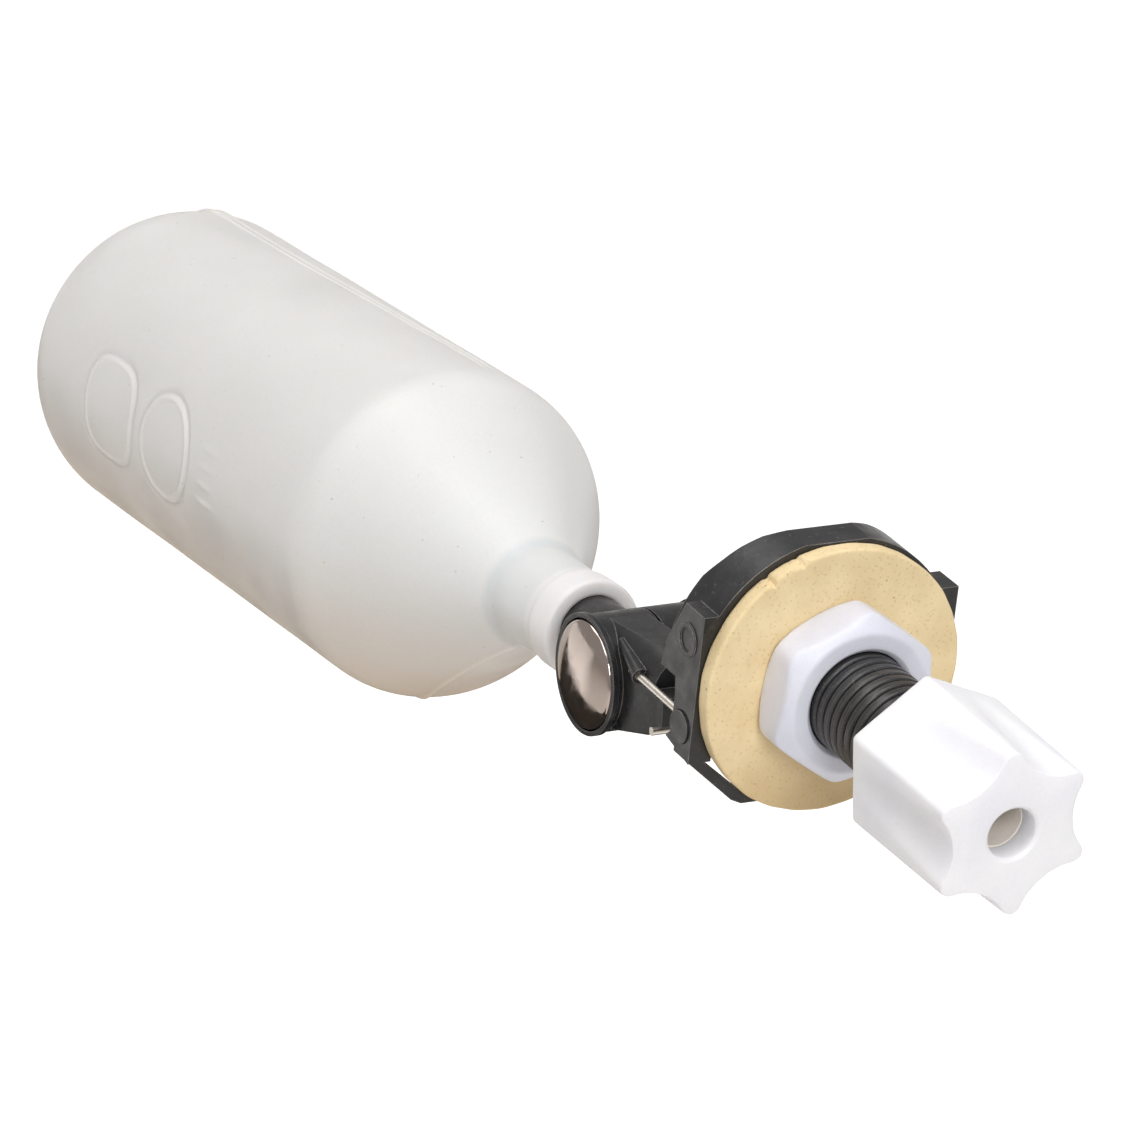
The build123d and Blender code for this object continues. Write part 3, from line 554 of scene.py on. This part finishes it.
def column_angles(distance, columns):
    """Angles from straight up: the seams twist round the axis on their way back."""
    upper_twist = np.interp(distance, [14, 60, 80, 125, 170], [21.5, 20, 19, 13, 11.5])
    lower_twist = np.interp(distance, [14, 41, 60, 80], [20, 19, 8, 7])
    below = (1 - np.cos(columns)) / 2
    return columns + np.radians(upper_twist * (1 - below) + lower_twist * below)


def seam_height(distance, radius, columns):
    """Two fine lines along the top, a thicker seam below and a low fin over the rear corner."""
    across = radius * wrapped(columns)
    under = radius * wrapped(columns - np.pi)
    lines = bump(across - 0.8, 0.24) + bump(across + 0.8, 0.24)
    height = 0.26 * rise(distance, 62, 8) * lines
    height = height + 0.312 * rise(distance, 21, 3) * bump(under, 0.3)
    return height + 0.5 * bump(across, 1.1) * bump(distance - 160, 9)


def marks_height(distance, angle):
    """A rounded pad, an oval and four ticks, the first two with a shallow ditch round them."""
    lap = BODY_RADIUS * (wrapped(angle) - MARKS_FACING)
    pad = ((np.abs(distance - PAD_CENTRE) / 8.2) ** 3 + (np.abs(lap) / 7.6) ** 3) ** (1 / 3)
    oval = np.hypot((distance - OVAL_CENTRE) / 8.1, lap / 7.8)
    outside_pad, outside_oval = (pad - 1) * 8, (oval - 1) * 8
    marks = 0.3 * rise(-outside_pad, 0, 1)
    for outside in (outside_pad, outside_oval):
        marks = marks + bump(outside, 0.36) - 1.3 * bump(outside - 0.95, 0.42)
    for offset in (-4.2, -1.4, 1.4, 4.2):
        marks = marks + 1.1 * bump(lap - offset, 0.5) * bump(distance - TICKS_CENTRE, 2.08)
    return 0.22 * np.where(distance > 70, np.clip(marks, -1.3, 1.0), 0)


def sunk_wall(distance, angle):
    """How far the uneven blow-moulded wall stands inside its nominal radius."""
    waves = np.sin(distance * 0.21 + 2 * np.cos(angle * 2)) * np.sin(angle * 3 + distance * 0.045)
    waves = waves + 0.6 * np.sin(distance * 0.083 + angle * 5 + 1.3)
    return 0.03 * (1.6 - waves) * rise(distance, 36, 20)


def float_rings(rows, columns, normals=None):
    """Rings of the float's skin; with normals it carries the moulded detail."""
    distance, radius = rows[:, :1], rows[:, 1:]
    angle = column_angles(distance, columns)
    station, reach = distance, radius
    if normals is not None:
        height = seam_height(distance, radius, columns) + marks_height(distance, angle)
        height = height - sunk_wall(distance, angle)
        station = distance + height * normals[:, :1]
        reach = radius + height * normals[:, 1:]
    lift = NECK_LIFT * (1 - rise(distance, 30, 12))
    rings = axis_rings(FLOAT_ORIGIN, FLOAT_ALONG, FLOAT_UP, Y_AXIS, station, reach, angle)
    return rings + lift[..., None] * FLOAT_UP


def build_float():
    """The bottle as one closed skin: bore and inside wall, mouth, neck, shoulder, body and end."""
    mouth_radius, collar_radius, neck_radius = FLOAT_BORE + 0.25, 7.55, 7.1
    neck = [
        (NECK_START, mouth_radius), (NECK_START, collar_radius), (20.2, collar_radius),
        (20.9, neck_radius), (NECK_END - 1.2, 7.45),
    ]
    outer_line = rounded(np.vstack([neck, bottle_section(0, 9.2)]), 0.8)
    mouth = [(NECK_START, mouth_radius), (NECK_START + 0.4, FLOAT_BORE)]
    inner_line = along_polyline(np.vstack([mouth, bottle_section(WALL, FLOAT_BORE)]), 0.5)

    outer_rows = spaced_rows(outer_line, outer_spacing)
    inner_rows = spaced_rows(inner_line, lambda distance, radius: 3.0)[::-1]
    tangents = np.gradient(outer_rows, axis=0)
    normals = np.column_stack([-tangents[:, 1], tangents[:, 0]])
    normals /= np.linalg.norm(normals, axis=1)[:, None]

    columns = float_columns()
    inside = float_rings(inner_rows, columns)
    outside = float_rings(outer_rows, columns, normals)
    return skin("float_bottle", np.vstack([inside, outside[1:]]))


finish_piece(build_float(), "float", "float_shell", "natural_polyethylene")


# ---------------------------------------------------------------- gasket
def build_gasket():
    """A sponge washer with worn edges and nicks torn out of its upper rim."""
    thickness, rim, face_gap = 2.5, 18.97, 0.01
    outline = [
        (-thickness, STEM_BORE), (-thickness, rim), (-face_gap, rim), (-face_gap, STEM_BORE),
    ]
    steps = along_polyline(rounded(outline, 0.75), 0.02)
    # Rows are 1 mm apart, and 0.14 mm apart near the rim
    keep = np.zeros(len(steps), bool)
    keep[::50] = True
    keep[np.flatnonzero(steps[:, 1] > rim - 2)[::7]] = True
    keep[[0, -1]] = True
    station, radius = steps[keep][:, :1], steps[keep][:, 1:]

    degrees = np.arange(0, 360, 0.75)
    angles = np.radians(degrees)
    outer = rise(radius, rim - 2.5, 2.5)
    facing = rise(station, -thickness, thickness)
    wobble = 0.05 * np.sin(3 * angles + 0.7) + 0.035 * np.sin(11 * angles)
    wobble = wobble + 0.03 * np.sin(29 * angles + 2)
    radii = radius - outer * (0.10 - wobble) * 0.8
    for centre, depth, width in ((111.0, 0.75, 1.1), (125.5, 0.95, 1.3), (113.6, 0.3, 1.6)):
        radii = radii - depth * bump(degrees - centre, width) * outer ** 2 * (0.35 + 0.65 * facing)
    # Torn skin between the nicks stands back from the face in small steps
    torn = bump(degrees - 118.5, 5.5) * (0.6 + 0.4 * np.sin(degrees * 1.9))
    stations = station - 0.35 * torn * outer ** 3 * facing
    return skin("gasket_sponge", stem_rings(stations, radii, angles), loop=True)


finish_piece(build_gasket(), "valve", "gasket_washer", "gasket_rubber")


# ---------------------------------------------------------------- nuts
def lathe_rows(outline, sharp_from, wear, spacing):
    """Rows of a turned outline, with corners worn round up to point sharp_from, then crisp."""
    step, crisp_wear, bend_spacing = 0.03, 0.12, 0.12
    bent = 0.15                     # turn, in radians per mm, from which rows stand closer
    worn = rounded(outline[:sharp_from + 1], wear, step)
    crisp = rounded(outline[sharp_from:], crisp_wear, step)
    line = np.vstack([worn, crisp[1:]])
    tangents = np.gradient(line, axis=0)
    heading = np.unwrap(np.arctan2(tangents[:, 1], tangents[:, 0]))
    turn = np.abs(np.gradient(heading)) / step
    chosen = [0]
    run = 0.0
    for k in range(1, len(line)):
        run += step
        if run >= (bend_spacing if turn[k] > bent else spacing):
            chosen.append(k)
            run = 0.0
    return line[chosen]


def build_locknut():
    """Hexagon locknut: soft corners, turned chamfers front and back, countersunk thread."""
    back, front = 0.02, 7.18
    corner, turn = 12.65, np.radians(24.6)
    widest, round_part, countersink = 12.4, 8.6, 0.6
    outline = [
        (back, STEM_BORE), (back, 11.1), (1.2, widest), (front - 1.9, widest), (front, 10.0),
        (front, round_part), (front, STEM_BORE + countersink), (front - countersink, STEM_BORE),
        (back, STEM_BORE),
    ]
    rows = lathe_rows(outline, 5, 0.75, 0.5)
    station, envelope = rows[:, :1], rows[:, 1:]
    angles = np.radians(np.arange(0, 360, 1.0))
    hexes = hexagon(angles, corner * np.cos(np.pi / 6), turn, 30)
    outside = rise(envelope, round_part, 1.2)
    radii = (1 - outside) * envelope + outside * soft_min([envelope, hexes], 40)
    return skin("locknut_hexagon", stem_rings(station, radii, angles), loop=True)


finish_piece(build_locknut(), "locknut", "locknut", "white_nylon")


def build_compression_nut():
    """Six-cornered nut whose flats turn into hollows towards the front, with a plain tube hole."""
    back, front = 23.72, 45.88
    corner, turn, taper = 12.3, np.radians(37.4), np.tan(np.radians(0.9))
    hole, hole_chamfer = 3.45, 0.45
    shoulder = 42.3                 # where the hole opens into the cone that holds the ferrule
    outline = [
        (back, 8.2), (back, corner), (front, corner), (front, 5.6), (front, hole + hole_chamfer),
        (front - hole_chamfer, hole), (shoulder, hole), (shoulder, 4.4), (40.5, STEM_BORE),
        (back + 0.95, STEM_BORE), (back, 8.2),
    ]
    rows = lathe_rows(outline, 3, 0.9, 0.6)
    station, line_radius = rows[:, :1], rows[:, 1:]
    angles = np.radians(np.arange(0, 360, 0.8))
    apothem = corner * np.cos(np.pi / 6) - taper * (station - back)
    hexes = hexagon(angles, apothem, turn, 60)

    # Round hollows of one radius, whose centres come in from 18.5 to 16.15 off the axis
    hollow_radius = 7.5
    hollow_centre = np.interp(station, (23.0, 46.5), (18.5, 16.15))
    hollows = []
    for direction in flat_directions(turn):
        away = angles - direction
        across = hollow_radius**2 - (hollow_centre * np.sin(away)) ** 2
        meets = (across > 0) & (np.cos(away) > 0)
        near_side = hollow_centre * np.cos(away) - np.sqrt(np.maximum(across, 0))
        hollows.append(np.where(meets, near_side, FAR))
    body = soft_min([hexes, *hollows], 55)

    # The lathe's outline gives the share of the way out; the outside takes the shaped radius
    inside = 8.3
    share = rise(line_radius, inside, corner - inside)
    least = np.minimum(inside, body)
    radii = np.where(share > 0, least + share * (body - least), line_radius)
    return skin("compression_nut_star", stem_rings(station, radii, angles), loop=True)


finish_piece(build_compression_nut(), "tube_nut", "compression_nut", "white_acetal")


# ---------------------------------------------------------------- caps
def build_cap(name, side):
    """A pressed dome with a rolled edge, seated in the barrel's end."""
    centre = np.array((-49.4, 0.0, -20.7))
    skirt, edge, crown, radius = 8.27, 9.25, 10.88, 7.93
    sweep = np.linspace(1, 0.04, 30)
    dome = np.column_stack([edge + (crown - edge) * (1 - sweep**2.6), radius * sweep])
    outline = np.vstack([[(skirt, 0.3), (skirt, radius)], dome[1:]])
    rows = along_polyline(rounded(outline, 0.4), 0.22)
    angles = np.radians(np.arange(0, 360, 2.5))
    rings = axis_rings(centre, side * Y_AXIS, Z_AXIS, X_AXIS, rows[:, :1], rows[:, 1:], angles)
    return skin(name, rings)


finish_piece(build_cap("dome_cap_left", -1), "lever", "cap_left", "polished_steel")
finish_piece(build_cap("dome_cap_right", 1), "float", "cap_right", "polished_steel")


# ---------------------------------------------------------------- floor, light and camera
# Places and sizes in this section are in metres
def lay_sheet(name, corners, height, paint):
    """A level four-cornered sheet."""
    mesh = bpy.data.meshes.new(name)
    mesh.from_pydata([(x, y, height) for x, y in corners], [], [(0, 1, 2, 3)])
    mesh.materials.append(paint.material)
    return add_object(name, mesh)


def build_floor():
    """A pale floor well below the valve, with painted light glowing behind the valve."""
    half_size, drop = 3.0, 0.16
    paint = Finish("floor_paint", 0.8)
    pale, paler = (0.88, 0.86, 0.83, 1), (0.91, 0.89, 0.86, 1)
    paint.colour(paint.ramp(paint.noise(3), (0.3, pale), (0.7, paler)))
    # Painted light: the floor behind the valve glows, along the camera's level look direction, like
    # a light table with no lamp beneath it
    away = paint.node("ShaderNodeVectorMath", operation="DOT_PRODUCT")
    away.inputs[1].default_value = (-0.870, 0.493, 0.0)
    paint.link(paint.place, away.inputs[0])
    glow = paint.spread(away.outputs["Value"], 0.0, 0.6, 0.08, 0.22)
    paint.link(glow, paint.shader.inputs["Emission Strength"])
    paint.shader.inputs["Emission Color"].default_value = WHITE
    square = [(-1, -1), (1, -1), (1, 1), (-1, 1)]
    corners = [(x * half_size, y * half_size) for x, y in square]
    return lay_sheet("floor", corners, cad_box[0].z - drop, paint)


def build_flag():
    """Painted shade: a black sheet under the float, which only reflections see, standing in for the
    dark shade beneath the float that the caps mirror.
    """
    shade_paint = Finish("painted_shade_flag", 0.9)
    shade_paint.colour(shade_paint.clouds(shade_paint.noise(40), (30, 26, 22), (44, 38, 32)))
    corners = [(-0.34, -0.067), (-0.02, -0.062), (-0.02, 0.16), (-0.34, 0.16)]
    made = lay_sheet("flag", corners, cad_box[0].z - 0.008, shade_paint)
    made.visible_camera = False
    made.visible_diffuse = False
    made.visible_shadow = False
    made.visible_transmission = False
    return made


def softbox(name, place, width, power):
    """A square lamp that faces the middle of the valve."""
    target = Vector((-0.08, 0.0, -0.02))
    lamp = bpy.data.lights.new(name, "AREA")
    lamp.shape = "SQUARE"
    lamp.size = width
    lamp.energy = power
    holder = add_object(name, lamp)
    holder.location = place
    holder.rotation_euler = (target - Vector(place)).to_track_quat("-Z", "Y").to_euler()


def light_studio():
    """A pale, slightly warm surround and three soft boxes."""
    world = bpy.data.worlds.new("studio")
    world.use_nodes = True
    background = world.node_tree.nodes["Background"]
    background.inputs["Color"].default_value = (1.0, 0.97, 0.945, 1)
    background.inputs["Strength"].default_value = 0.38
    bpy.context.scene.world = world
    softbox("key", (0.12, -0.12, 0.72), 0.55, 2.8)
    softbox("fill", (0.70, -0.20, 0.43), 0.32, 3.0)
    softbox("back", (-0.42, -0.16, 0.60), 0.40, 1.2)


def build_camera():
    """The photograph's viewpoint: above and in front of the stem, slightly rolled, long lens."""
    place = Vector((0.592725, -0.378040, 0.323596))
    look = Vector((-0.795748, 0.450505, -0.404759)).normalized()
    roll = np.radians(6.016)
    level = look.cross(Vector((0, 0, 1))).normalized()
    upright = level.cross(look)
    right = level * np.cos(roll) + upright * np.sin(roll)
    up = right.cross(look)
    camera = bpy.data.cameras.new("camera")
    camera.sensor_width = 36
    camera.lens = 188.711
    holder = add_object("camera", camera)
    turn = Matrix((right, up, -look)).transposed().to_4x4()
    holder.matrix_world = Matrix.Translation(place) @ turn
    bpy.context.scene.camera = holder


floor = build_floor()
flag = build_flag()
light_studio()
build_camera()
bpy.context.scene.view_settings.view_transform = "Standard"
